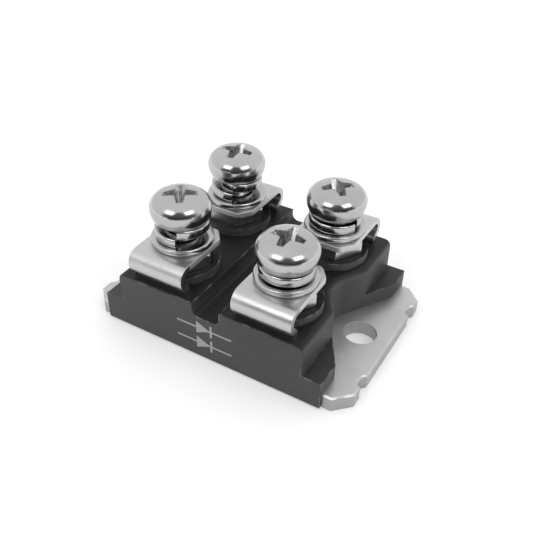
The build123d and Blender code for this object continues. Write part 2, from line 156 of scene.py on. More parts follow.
class ModuleColours(bpy.types.PropertyGroup):
    """Colours of the module's finishes."""

    moulding: colour_property("Moulding", "Black moulding compound", "191919")
    # Paler tone of the moulding's upright faces and low ledges: painted light, standing in for the
    # brighter light that falls on these faces
    drag: colour_property("Upright faces", "Paler film that the mould leaves on upright faces", "484849")
    sparkle: colour_property("Sparkle", "Bright grains of the moulding compound", "5a5a5a")
    chips: colour_property("Chips", "Moulding where its edges are rubbed", "a2a2a1")
    dust: colour_property("Dust", "Dust on the moulding", "8d8d8a")
    ink: colour_property("Mark", "Ink of the printed diode symbols", "b8b8b6")
    nickel: colour_property("Nickel", "Nickel plating of the baseplate", "c9c9c8")
    terminal: colour_property("Terminals", "Nickel plating of the terminals", "c6c6c5")
    screw: colour_property("Screws", "Nickel plating of the screws", "b9b9b9")
    recess: colour_property("Recesses", "Duller plating in the cross recesses", "b8b8b7")
    washer: colour_property("Washers", "Nickel plating of the flat washers", "bababa")
    spring: colour_property("Split washers", "Nickel plating of the split washers", "b6b6b6")
    nut: colour_property("Nuts", "Nickel plating of the nuts", "c6c6c5")
    copper: colour_property("Copper", "Bare copper of the pads", "c98a63")
    solder: colour_property("Solder", "Solder under the substrate", "a8a8a4")
    ribbon: colour_property("Ribbons", "Aluminium of the bond ribbons", "cfcfcd")
    ceramic: colour_property("Ceramic", "White alumina of the substrate", "e6e3da")
    die: colour_property("Dies", "Metallised top of the diode dies", "a9a59c")
    gel: colour_property("Gel", "Clear soft filling", "dcdcd2")


class ModuleStudio(bpy.types.PropertyGroup):
    """Camera and light of the studio."""

    azimuth: angle_property("Azimuth", "Direction of the camera round the module", 30.721)
    elevation: angle_property("Elevation", "Height of the camera above the horizon", 37.021)
    roll: angle_property("Roll", "Turn of the camera about its own view", 0.69)
    distance: length_property("Distance", "Distance of the camera from the module", 92.014)
    lens_share: number_property("Lens", "Focal length as a share of the image side",
                                FOCAL_LENGTH / IMAGE_SIDE)
    lamp_power: bpy.props.FloatProperty(name="Lamps", description="Power of each of the two soft boxes",
                                        default=0.5, min=0.0, unit="POWER")
    ceiling: number_property("Ceiling", "Brightness of the room overhead", 1.0)
    far_wall: number_property("Far wall", "Brightness of the room behind the module", 1.0)
    near_wall: number_property("Near wall", "Brightness of the room behind the camera", 0.1)
    paper_glow: number_property("Paper", "What the white paper adds to its own shade", 0.25)


def sizes():
    return bpy.context.scene.diode_module_sizes


def colours():
    return bpy.context.scene.diode_module_colours


def studio():
    return bpy.context.scene.diode_module_studio


# Small tools for node trees

def add_node(tree, kind, settings=None, **sockets):
    """A node with its settings, and values or links for its sockets by name."""
    node = tree.nodes.new(kind)
    for name, value in (settings or {}).items():
        setattr(node, name, value)
    for name, value in sockets.items():
        feed(tree, find_socket(node, name), value)
    return node


def feed(tree, socket, value):
    """Links or sets one socket."""
    if isinstance(value, bpy.types.NodeSocket):
        tree.links.new(value, socket)
    else:
        socket.default_value = value


def find_socket(node, name):
    """An input by its name, or by its number as in _1."""
    if name.startswith("_"):
        return node.inputs[int(name[1:])]
    return node.inputs[name.replace("_", " ")]


def maths(tree, operation, first, second=0.0, clamp=False):
    """The result of one sum."""
    settings = {"operation": operation, "use_clamp": clamp}
    return add_node(tree, "ShaderNodeMath", settings, _0=first, _1=second).outputs[0]


def times(tree, first, *others):
    """The product of values."""
    for other in others:
        first = maths(tree, "MULTIPLY", first, other)
    return first


def apart(tree, first, second):
    """How far apart two values are."""
    return maths(tree, "ABSOLUTE", maths(tree, "SUBTRACT", first, second))


def remap(tree, value, low, high, to_low, to_high, smooth=False):
    """A value moved from one range to another and kept within it."""
    kind = "SMOOTHSTEP" if smooth else "LINEAR"
    node = add_node(tree, "ShaderNodeMapRange", {"clamp": True, "interpolation_type": kind}, Value=value)
    for name, number in (("From Min", low), ("From Max", high), ("To Min", to_low), ("To Max", to_high)):
        feed(tree, node.inputs[name], number)
    return node.outputs["Result"]


def mix_colour(tree, factor, first, second):
    """Two colours blended."""
    node = add_node(tree, "ShaderNodeMix", {"data_type": "RGBA"})
    for index, value in ((0, factor), (6, first), (7, second)):
        feed(tree, node.inputs[index], value)
    return node.outputs[2]


def mix_value(tree, factor, first, second):
    """Two values blended."""
    node = add_node(tree, "ShaderNodeMix", {"data_type": "FLOAT"})
    for index, value in ((0, factor), (2, first), (3, second)):
        feed(tree, node.inputs[index], value)
    return node.outputs[0]


def new_group(name, inputs, outputs):
    """An empty node group with named inputs (type and default) and outputs."""
    group = bpy.data.node_groups.new(name, "ShaderNodeTree")
    for label, kind, default in inputs:
        socket = group.interface.new_socket(label, in_out="INPUT", socket_type=kind)
        socket.default_value = default
    for label, kind in outputs:
        group.interface.new_socket(label, in_out="OUTPUT", socket_type=kind)
    return group, group.nodes.new("NodeGroupInput").outputs, group.nodes.new("NodeGroupOutput").inputs


def place_group(tree, name, **values):
    """One use of a shared node group."""
    return add_node(tree, "ShaderNodeGroup", {"node_tree": bpy.data.node_groups[name]}, **values).outputs


def object_place(tree):
    """Object coordinates."""
    return tree.nodes.new("ShaderNodeTexCoord").outputs["Object"]


def noise(tree, place, scale, detail=3.0, roughness=0.55):
    """Smooth noise of the given scale."""
    return add_node(tree, "ShaderNodeTexNoise", None, Vector=place, Scale=scale, Detail=detail,
                    Roughness=roughness).outputs["Fac"]


def split(tree, vector):
    """The X, Y and Z of a vector."""
    return add_node(tree, "ShaderNodeSeparateXYZ", None, Vector=vector).outputs


def vector_maths(tree, operation, first, **sockets):
    """The vector and the value of one sum with vectors."""
    return add_node(tree, "ShaderNodeVectorMath", {"operation": operation}, _0=first, **sockets).outputs


def scaled(tree, vector, factor):
    """A vector or colour times a factor."""
    return vector_maths(tree, "SCALE", vector, Scale=factor)["Vector"]


def levelness(tree):
    """1 where the surface lies level, 0 where it stands upright."""
    facing = tree.nodes.new("ShaderNodeNewGeometry").outputs["Normal"]
    return maths(tree, "ABSOLUTE", split(tree, facing)["Z"])


# Effects that several materials share

def build_edge_wear():
    """A mask that is bright along outer edges, broken up by noise."""
    group, given, result = new_group(
        "edge_wear",
        [("Radius", "NodeSocketFloat", 0.15 * MM), ("Amount", "NodeSocketFloat", 1.0),
         ("Scale", "NodeSocketFloat", 900.0), ("Bare From", "NodeSocketFloat", 0.4)],
        [("Mask", "NodeSocketFloat")])
    rounded = add_node(group, "ShaderNodeBevel", {"samples": 4}, Radius=given["Radius"])
    normal = group.nodes.new("ShaderNodeNewGeometry").outputs["Normal"]
    facing = vector_maths(group, "DOT_PRODUCT", rounded.outputs[0], _1=normal)["Value"]
    bent = remap(group, facing, 0.99, 0.86, 0.0, 1.0)
    around = add_node(group, "ShaderNodeAmbientOcclusion", {"samples": 4}, Distance=0.6 * MM)
    outer = remap(group, around.outputs["AO"], 0.6, 0.82, 0.0, 1.0)
    bare_to = maths(group, "ADD", given["Bare From"], 0.15)
    ragged = noise(group, object_place(group), given["Scale"])
    broken = remap(group, ragged, given["Bare From"], bare_to, 0.06, 1.0)
    mask = maths(group, "MULTIPLY", times(group, bent, outer, broken), given["Amount"], clamp=True)
    group.links.new(mask, result["Mask"])


def build_mould_grain():
    """Fine sparkle of eroded mould steel, and slow cloudy patches in tone and gloss."""
    group, given, result = new_group(
        "mould_grain",
        [("Scale", "NodeSocketFloat", 5200.0), ("Patch Scale", "NodeSocketFloat", 190.0)],
        [("Height", "NodeSocketFloat"), ("Patches", "NodeSocketFloat"), ("Grain", "NodeSocketFloat")])
    place = object_place(group)
    fine = noise(group, place, given["Scale"], detail=4.0, roughness=0.6)
    cells = add_node(group, "ShaderNodeTexVoronoi", {"feature": "F1"}, Vector=place, Scale=given["Scale"])
    height = maths(group, "ADD", fine, times(group, cells.outputs["Distance"], -0.4))
    group.links.new(height, result["Height"])
    group.links.new(noise(group, place, given["Patch Scale"]), result["Patches"])
    group.links.new(fine, result["Grain"])


def build_specks():
    """Sparse small spots: dust on the moulding, pits in the plating."""
    group, given, result = new_group(
        "specks",
        [("Scale", "NodeSocketFloat", 700.0), ("Amount", "NodeSocketFloat", 0.5)],
        [("Mask", "NodeSocketFloat")])
    cells = add_node(group, "ShaderNodeTexVoronoi", {"feature": "F1"}, Vector=object_place(group),
                     Scale=given["Scale"])
    near = remap(group, cells.outputs["Distance"], 0.05, 0.16, 1.0, 0.0)
    chance = add_node(group, "ShaderNodeSeparateColor", None, Color=cells.outputs["Color"]).outputs["Red"]
    some = maths(group, "GREATER_THAN", chance, maths(group, "SUBTRACT", 1.0, given["Amount"]))
    group.links.new(times(group, near, some), result["Mask"])


def build_plated_metal():
    """Plating over worked metal: cloudy tone, uneven gloss, drawn lines and fine scratches."""
    group, given, result = new_group(
        "plated_metal",
        [("Cloud Scale", "NodeSocketFloat", 260.0), ("Line Scale", "NodeSocketFloat", 2600.0),
         ("Line Direction", "NodeSocketVector", (1.0, 0.04, 1.0)), ("Line Depth", "NodeSocketFloat", 0.5),
         ("Gloss Low", "NodeSocketFloat", 0.22), ("Gloss High", "NodeSocketFloat", 0.36)],
        [("Tone", "NodeSocketFloat"), ("Roughness", "NodeSocketFloat"), ("Height", "NodeSocketFloat")])
    place = object_place(group)
    clouds = noise(group, place, given["Cloud Scale"], detail=4.0, roughness=0.6)
    drawn_place = vector_maths(group, "MULTIPLY", place, _1=given["Line Direction"])["Vector"]
    drawn = noise(group, drawn_place, given["Line Scale"], detail=2.0, roughness=0.5)
    peel = noise(group, place, 2200.0, detail=2.0, roughness=0.5)
    lines = times(group, drawn, given["Line Depth"])
    height = maths(group, "ADD", lines, times(group, peel, 0.35))
    gloss = maths(group, "ADD", times(group, clouds, 0.7), times(group, drawn, 0.3))
    roughness = remap(group, gloss, 0.35, 0.65, given["Gloss Low"], given["Gloss High"])
    group.links.new(remap(group, clouds, 0.3, 0.7, 0.0, 1.0), result["Tone"])
    group.links.new(roughness, result["Roughness"])
    group.links.new(height, result["Height"])


def build_printed_mark():
    """A mask of two plain diode symbols, one above the other, printed on the long front face."""
    group, given, result = new_group(
        "printed_mark",
        [("Centre", "NodeSocketVector", (-0.0003, 0.0, 0.0037)), ("Face", "NodeSocketFloat", -0.0126),
         ("Spacing", "NodeSocketFloat", 0.0024)],
        [("Mask", "NodeSocketFloat")])
    place = object_place(group)
    moved = split(group, vector_maths(group, "SUBTRACT", place, _1=given["Centre"])["Vector"])
    across = moved["X"]
    up = apart(group, maths(group, "ABSOLUTE", moved["Z"]), times(group, given["Spacing"], 0.5))
    lead_reach, lead_half = 4.0 * MM, 0.13 * MM
    arrow_start, arrow_point, arrow_slope = -1.1 * MM, 0.95 * MM, 0.46
    bar_place, bar_half, bar_reach = 1.05 * MM, 0.15 * MM, 0.92 * MM

    def below(value, limit):
        return maths(group, "LESS_THAN", value, limit)

    lead = times(group, below(up, lead_half), below(maths(group, "ABSOLUTE", across), lead_reach))
    slope = times(group, maths(group, "SUBTRACT", arrow_point, across), arrow_slope)
    arrow = times(group, below(up, slope), maths(group, "GREATER_THAN", across, arrow_start))
    bar = times(group, below(apart(group, across, bar_place), bar_half), below(up, bar_reach))
    drawn = maths(group, "MAXIMUM", lead, maths(group, "MAXIMUM", arrow, bar))
    on_face = below(split(group, place)["Y"], given["Face"])
    worn = remap(group, noise(group, place, 5200.0, roughness=0.6), 0.3, 0.42, 0.35, 1.0)
    group.links.new(times(group, drawn, on_face, worn), result["Mask"])


def build_effects():
    """Every shared effect, once."""
    for name, build in (("edge_wear", build_edge_wear), ("mould_grain", build_mould_grain),
                        ("specks", build_specks), ("plated_metal", build_plated_metal),
                        ("printed_mark", build_printed_mark)):
        if name not in bpy.data.node_groups:
            build()


# Materials

def new_material(name, shade, **values):
    """A material of one shader, set to the given values; shade is its colour in the viewport."""
    build_effects()
    material = bpy.data.materials.new(name)
    material.use_nodes = True
    material.diffuse_color = shade
    tree = material.node_tree
    tree.nodes.clear()
    shader = add_node(tree, "ShaderNodeBsdfPrincipled", None, **values)
    output = tree.nodes.new("ShaderNodeOutputMaterial")
    tree.links.new(shader.outputs[0], output.inputs["Surface"])
    return material, tree, shader


def bump(tree, shader, height, strength, distance):
    """A small relief on the shader's normal."""
    relief = add_node(tree, "ShaderNodeBump", None, Height=height, Strength=strength, Distance=distance)
    tree.links.new(relief.outputs[0], shader.inputs["Normal"])


def shaded(shade, share):
    """The same colour at a share of its brightness."""
    return (*[min(1.0, value * share) for value in shade[:3]], 1.0)


def moulding_material(name, shade, painted_lit_tone):
    """Matte black compound with fine grain and worn edges, with painted light: a paler tone on upright
    faces, and on the low ledges more towards the left end.
    """
    material, tree, shader = new_material(name, shade, Specular_IOR_Level=0.3)
    grain = place_group(tree, "mould_grain")
    wear = place_group(tree, "edge_wear", Radius=0.24 * MM, Amount=1.0, Scale=750.0, Bare_From=0.49)
    dust = place_group(tree, "specks", Scale=620.0, Amount=0.06)
    # Painted light: upright faces, and the low ledges more towards the left end, take a paler tone in
    # place of the brighter light that falls on them
    upright = remap(tree, levelness(tree), 0.35, 0.8, 1.0, 0.0)
    place = split(tree, object_place(tree))
    painted_light_from_left = remap(tree, place["X"], -12 * MM, 12 * MM, 0.85, 0.3)
    painted_ledge_light = times(tree, remap(tree, place["Z"], 5.2 * MM, 5.6 * MM, 1.0, 0.0), painted_light_from_left)
    body = mix_colour(tree, maths(tree, "MAXIMUM", upright, painted_ledge_light), shade, painted_lit_tone)
    patchy = scaled(tree, body, remap(tree, grain["Patches"], 0.3, 0.7, 0.84, 1.16))
    sparkling = remap(tree, grain["Grain"], 0.55, 0.75, 0.0, 0.12)
    speckled = mix_colour(tree, sparkling, patchy, colours().sparkle)
    worn = mix_colour(tree, wear["Mask"], speckled, colours().chips)
    dusty = mix_colour(tree, times(tree, dust["Mask"], 0.5), worn, colours().dust)
    mark = place_group(tree, "printed_mark")
    marked = mix_colour(tree, times(tree, mark["Mask"], 0.85), dusty, colours().ink)
    tree.links.new(marked, shader.inputs["Base Color"])
    tree.links.new(remap(tree, grain["Patches"], 0.3, 0.7, 0.44, 0.54), shader.inputs["Roughness"])
    bump(tree, shader, grain["Height"], 0.25, 0.015 * MM)
    return material


def metal_material(name, shade, gloss, line_depth=0.2, line_direction=(1.0, 1.0, 1.0), cloud_scale=260.0,
                   relief=0.2, pits=0.0, painted_upright_shade=1.0, clouds=(0.92, 1.04), rub_and_highlight=1.3, sheared_highlight_within=0.0,
                   depth=0.008 * MM):
    """Nickel plating: cloudy tone, uneven gloss and fine lines, with brighter edges that are partly
    rubbed wear and partly a painted highlight.

    One argument sets the brightness of upright faces, a painted shade on the cut sides and hole walls;
    another sets the distance from the middle, across the module, inside which upright faces have the
    rough look of a sheared edge and a lighter tone that is partly a painted highlight.
    """
    material, tree, shader = new_material(name, shade, Metallic=1.0)
    plated = place_group(tree, "plated_metal", Cloud_Scale=cloud_scale, Line_Direction=line_direction,
                         Line_Depth=line_depth, Gloss_Low=gloss[0], Gloss_High=gloss[1])
    wear = place_group(tree, "edge_wear", Radius=0.1 * MM, Amount=0.5, Scale=1800.0)
    cloudy = mix_colour(tree, plated["Tone"], shaded(shade, clouds[0]), shaded(shade, clouds[1]))
    # Painted shade: upright faces, such as the plate's cut sides and hole walls, are darkened to a share
    # of the tone
    if painted_upright_shade < 1.0:
        cloudy = scaled(tree, cloudy, remap(tree, levelness(tree), 0.2, 0.6, painted_upright_shade, 1.0))
    # Painted highlight with wear: edges are lightened, partly for rubbed plating and partly for the light
    # that edges catch
    rubbed = mix_colour(tree, wear["Mask"], cloudy, shaded(shade, rub_and_highlight))
    if pits:
        pitted = place_group(tree, "specks", Scale=520.0, Amount=pits)
        rubbed = mix_colour(tree, times(tree, pitted["Mask"], 0.6), rubbed, shaded(shade, 0.3))
    gloss_here = plated["Roughness"]
    if sheared_highlight_within:
        across = maths(tree, "ABSOLUTE", split(tree, object_place(tree))["Y"])
        within = maths(tree, "LESS_THAN", across, sheared_highlight_within)
        # Upright faces near the middle get the rough gloss of a sheared cut, which is real, and a lighter
        # tone, which is partly a painted highlight along the cut
        cut = times(tree, remap(tree, levelness(tree), 0.3, 0.6, 1.0, 0.0), within)
        rubbed = mix_colour(tree, cut, rubbed, shaded(shade, 1.25))
        gloss_here = mix_value(tree, cut, gloss_here, 0.62)
    tree.links.new(rubbed, shader.inputs["Base Color"])
    tree.links.new(gloss_here, shader.inputs["Roughness"])
    bump(tree, shader, plated["Height"], relief, depth)
    return material


def plain_material(name, shade, roughness, metallic=0.0):
    """A simple finish for pieces sealed inside, with cloudy tone and uneven gloss."""
    material, tree, shader = new_material(name, shade, Metallic=metallic)
    grain = place_group(tree, "mould_grain", Scale=4800.0, Patch_Scale=400.0)
    patches = remap(tree, grain["Patches"], 0.3, 0.7, 0.0, 1.0)
    cloudy = mix_colour(tree, patches, shaded(shade, 0.85), shaded(shade, 1.08))
    tree.links.new(cloudy, shader.inputs["Base Color"])
    tree.links.new(remap(tree, grain["Patches"], 0.3, 0.7, roughness * 0.85, roughness * 1.15),
                   shader.inputs["Roughness"])
    bump(tree, shader, grain["Height"], 0.2, 0.01 * MM)
    return material


def gel_material(name, shade):
    """Clear soft gel with faint clouds."""
    material, tree, shader = new_material(name, shade, IOR=1.41, Transmission_Weight=0.85)
    grain = place_group(tree, "mould_grain", Scale=1500.0, Patch_Scale=140.0)
    patches = remap(tree, grain["Patches"], 0.3, 0.7, 0.0, 1.0)
    tree.links.new(mix_colour(tree, patches, shaded(shade, 0.94), shade), shader.inputs["Base Color"])
    tree.links.new(remap(tree, grain["Patches"], 0.3, 0.7, 0.12, 0.2), shader.inputs["Roughness"])
    bump(tree, shader, grain["Height"], 0.1, 0.01 * MM)
    return material


# Tools for objects and meshes

def add_object(name, data):
    """A new object in the scene."""
    item = bpy.data.objects.new(name, data)
    bpy.context.scene.collection.objects.link(item)
    return item


def edged_copy(node, degrees, width):
    """A solid's shape with its triangles joined, its flats merged and its sharp edges broken."""
    work = bmesh.new()
    work.from_mesh(CAD[node].data)
    bmesh.ops.remove_doubles(work, verts=work.verts, dist=SAME_POINT)
    bmesh.ops.dissolve_limit(work, angle_limit=FLAT_ANGLE, use_dissolve_boundaries=False,
                             verts=work.verts, edges=work.edges, delimit=set())
    break_edges(work, sharp_edges(work, degrees), width)
    return work


def sharp_edges(work, degrees, keep=None):
    """Edges where two faces meet at more than an angle."""
    limit = math.radians(degrees)
    return [edge for edge in work.edges
            if len(edge.link_faces) == 2 and edge.calc_face_angle(0.0) > limit
            and (keep is None or keep(edge))]


def break_edges(work, edges, width, segments=2, limited=True):
    """Rounds edges as a worn die or a tumbled part has them."""
    bmesh.ops.bevel(work, geom=edges, offset=width, offset_type="OFFSET", segments=segments, profile=0.5,
                    affect="EDGES", clamp_overlap=limited, material=-1, loop_slide=True,
                    miter_outer="SHARP")


def finished_piece(work, name, material, stands_for, even=True):
    """A finished piece: its mesh in place, smooth across gentle edges, riding on the module."""
    bmesh.ops.recalc_face_normals(work, faces=work.faces)
    mesh = bpy.data.meshes.new(name)
    work.to_mesh(mesh)
    work.free()
    mesh.shade_smooth()
    mesh.set_sharp_from_angle(angle=SMOOTH_ANGLE)
    mesh.materials.append(material)
    piece = add_object(name, mesh)
    if even:
        weighted = piece.modifiers.new("Even shading", "WEIGHTED_NORMAL")
        weighted.keep_sharp = True
        weighted.weight = 90
    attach(piece, "root")
    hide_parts(stands_for)
    return piece


def dress_solid(node, material):
    """A solid that is kept as it is, with its own finish."""
    solid = CAD[node]
    solid.data.materials.clear()
    solid.data.materials.append(material)


def node_islands(node):
    """Lowest and highest corners of each separate solid of a node, by the terminal it belongs to."""
    work = bmesh.new()
    work.from_mesh(CAD[node].data)
    low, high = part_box(node)
    middle = (low + high) / 2
    corners = {name: [] for name in TERMINALS}
    for vertex in work.verts:
        side = "rear" if vertex.co.y > middle.y else "front"
        end = "right" if vertex.co.x > middle.x else "left"
        corners[side + "_" + end].append(vertex.co.copy())
    work.free()
    return {name: [Vector([pick(axis) for axis in zip(*points)]) for pick in (min, max)]
            for name, points in corners.items()}


def add_outline(work, points):
    """A chain of vertices at the given radii and heights, joined by edges."""
    chain = [work.verts.new((radius, 0.0, height)) for radius, height in points]
    for first, second in zip(chain, chain[1:]):
        work.edges.new((first, second))
    return chain


def turn_vertex(work, vertex, centre, degrees, steps):
    """Continues an outline from its last vertex along an arc; a positive angle turns towards the axis."""
    done = bmesh.ops.spin(work, geom=[vertex], cent=(centre[0], 0.0, centre[1]), axis=(0.0, -1.0, 0.0),
                          angle=math.radians(degrees), steps=steps)
    return [item for item in done["geom_last"] if isinstance(item, bmesh.types.BMVert)][0]


def spin_outline(work):
    """Turns an outline once round the upright axis and closes it."""
    geometry = list(work.verts) + list(work.edges)
    bmesh.ops.spin(work, geom=geometry, axis=(0.0, 0.0, 1.0), angle=math.radians(360),
                   steps=TURNED_STEPS, use_merge=True)
    bmesh.ops.remove_doubles(work, verts=work.verts, dist=SAME_POINT)
    bmesh.ops.recalc_face_normals(work, faces=work.faces)


def join_copy(work, part, place, turn=0.0):
    """Adds a copy of a finished mesh to a group, moved and turned about the upright axis."""
    copy = part.copy()
    copy.transform(Matrix.Translation(place) @ Matrix.Rotation(turn, 4, "Z"))
    work.from_mesh(copy)
    bpy.data.meshes.remove(copy)


def as_mesh(work, name):
    """A bmesh kept as a mesh."""
    mesh = bpy.data.meshes.new(name)
    work.to_mesh(mesh)
    work.free()
    return mesh


# Pieces

class DIODE_OT_baseplate(bpy.types.Operator):
    """Stamped and nickel-plated baseplate with its two mounting holes"""

    bl_idname = "diode_module.baseplate"
    bl_label = "Baseplate"

    def execute(self, context):
        work = edged_copy("baseplate", 40, sizes().plate_edge)
        # The plate's upright faces get a painted shade, and its edges a weak painted highlight with wear
        material = metal_material("plate_plating", colours().nickel, gloss=(0.36, 0.46), line_depth=0.15,
                                  line_direction=(1.0, 0.05, 1.0), relief=0.14, painted_upright_shade=0.72,
                                  clouds=(0.88, 1.05), rub_and_highlight=1.08)
        finished_piece(work, "plated_baseplate", material, "baseplate")
        return {"FINISHED"}


class DIODE_OT_housing(bpy.types.Operator):
    """Moulded housing with its end recesses, trench, collars and nut pockets"""

    bl_idname = "diode_module.housing"
    bl_label = "Housing"

    def execute(self, context):
        work = edged_copy("housing", 50, sizes().mould_edge)
        # The second colour is painted light on the upright faces and low ledges
        material = moulding_material("black_compound", colours().moulding, colours().drag)
        finished_piece(work, "moulded_housing", material, "housing")
        return {"FINISHED"}


class DIODE_OT_terminals(bpy.types.Operator):
    """Four terminals folded from plated strip"""

    bl_idname = "diode_module.terminals"
    bl_label = "Terminals"

    def execute(self, context):
        # Edges and sheared cut faces of the terminals are lightened: rubbed wear and rough cuts, partly a
        # painted highlight
        material = metal_material("terminal_plating", colours().terminal, gloss=(0.3, 0.4),
                                  line_depth=0.3, line_direction=(0.05, 1.0, 1.0), relief=0.8,
                                  depth=0.06 * MM, sheared_highlight_within=10.4 * MM)
        for name in TERMINALS:
            node = "terminal_" + name
            work = edged_copy(node, 50, sizes().strip_edge)
            finished_piece(work, "folded_" + node, material, node)
        return {"FINISHED"}


class DIODE_OT_nuts(bpy.types.Operator):
    """Hexagon nuts under the terminals' tabs"""

    bl_idname = "diode_module.nuts"
    bl_label = "Nuts"

    def execute(self, context):
        work = edged_copy("hex_nuts", 45, sizes().nut_edge)
        material = metal_material("nut_plating", colours().nut, gloss=(0.26, 0.34), relief=0.07)
        finished_piece(work, "chamfered_nuts", material, "hex_nuts")
        return {"FINISHED"}


class DIODE_OT_flat_washers(bpy.types.Operator):
    """Flat washers, each turned from its section with rolled edges"""

    bl_idname = "diode_module.flat_washers"
    bl_label = "Flat washers"

    def execute(self, context):
        boxes = node_islands("flat_washers")
        low, high = boxes["front_left"]
        radius = (high.x - low.x) / 2
        thickness = high.z - low.z
        bore = sizes().screw_diameter / 2 + sizes().washer_play
        work = bmesh.new()
        chain = add_outline(work, ((bore, 0.0), (radius, 0.0), (radius, thickness), (bore, thickness)))
        work.edges.new((chain[-1], chain[0]))
        spin_outline(work)
        sharp = sharp_edges(work, 45)
        outer = [edge for edge in sharp if edge.verts[0].co.to_2d().length > (bore + radius) / 2]
        inner = [edge for edge in sharp if edge not in outer]
        break_edges(work, inner, sizes().washer_edge / 2)
        break_edges(work, outer, sizes().washer_edge, segments=3)
        washer = as_mesh(work, "washer")
        group = bmesh.new()
        for name in TERMINALS:
            low, high = boxes[name]
            join_copy(group, washer, ((low.x + high.x) / 2, (low.y + high.y) / 2, low.z))
        material = metal_material("washer_plating", colours().washer, gloss=(0.15, 0.24), relief=0.35)
        finished_piece(group, "plain_washers", material, "flat_washers")
        return {"FINISHED"}


class DIODE_OT_split_washers(bpy.types.Operator):
    """Split washers, each one turn of rounded wire that rises and stands open"""

    bl_idname = "diode_module.split_washers"
    bl_label = "Split washers"

    # Direction of each opening in degrees
    openings = {"front_left": -66.0, "front_right": 121.0, "rear_left": -67.0, "rear_right": -16.0}

    def execute(self, context):
        size = sizes()
        screws = node_islands("terminal_screws")
        seats = node_islands("flat_washers")
        inner = size.screw_diameter / 2 + size.washer_play
        group = bmesh.new()
        for name in TERMINALS:
            level = seats[name][1].z
            height = screws[name][0].z + size.screw_length - level
            axis = (screws[name][0] + screws[name][1]) / 2
            work = bmesh.new()
            corners = ((inner, 0.0), (inner + size.wire_width, 0.0),
                       (inner + size.wire_width, size.wire_thickness), (inner, size.wire_thickness))
            work.faces.new([work.verts.new((radius, 0.0, z)) for radius, z in corners])
            bmesh.ops.bevel(work, geom=list(work.verts), offset=size.wire_edge, offset_type="OFFSET",
                            segments=4, profile=0.5, affect="VERTICES", clamp_overlap=True, material=-1)
            rise = (height - size.wire_thickness) / WOUND_STEPS
            section = list(work.faces) + list(work.edges) + list(work.verts)
            bmesh.ops.spin(work, geom=section, axis=(0.0, 0.0, -1.0), dvec=(0.0, 0.0, rise),
                           angle=2 * math.pi - size.wire_gap, steps=WOUND_STEPS)
            bmesh.ops.recalc_face_normals(work, faces=work.faces)
            coil = as_mesh(work, "coil")
            start = math.radians(self.openings[name]) - size.wire_gap / 2
            join_copy(group, coil, (axis.x, axis.y, level), start)
        material = metal_material("spring_plating", colours().spring, gloss=(0.1, 0.17), relief=0.2)
        finished_piece(group, "spring_washers", material, "split_washers", even=False)
        return {"FINISHED"}


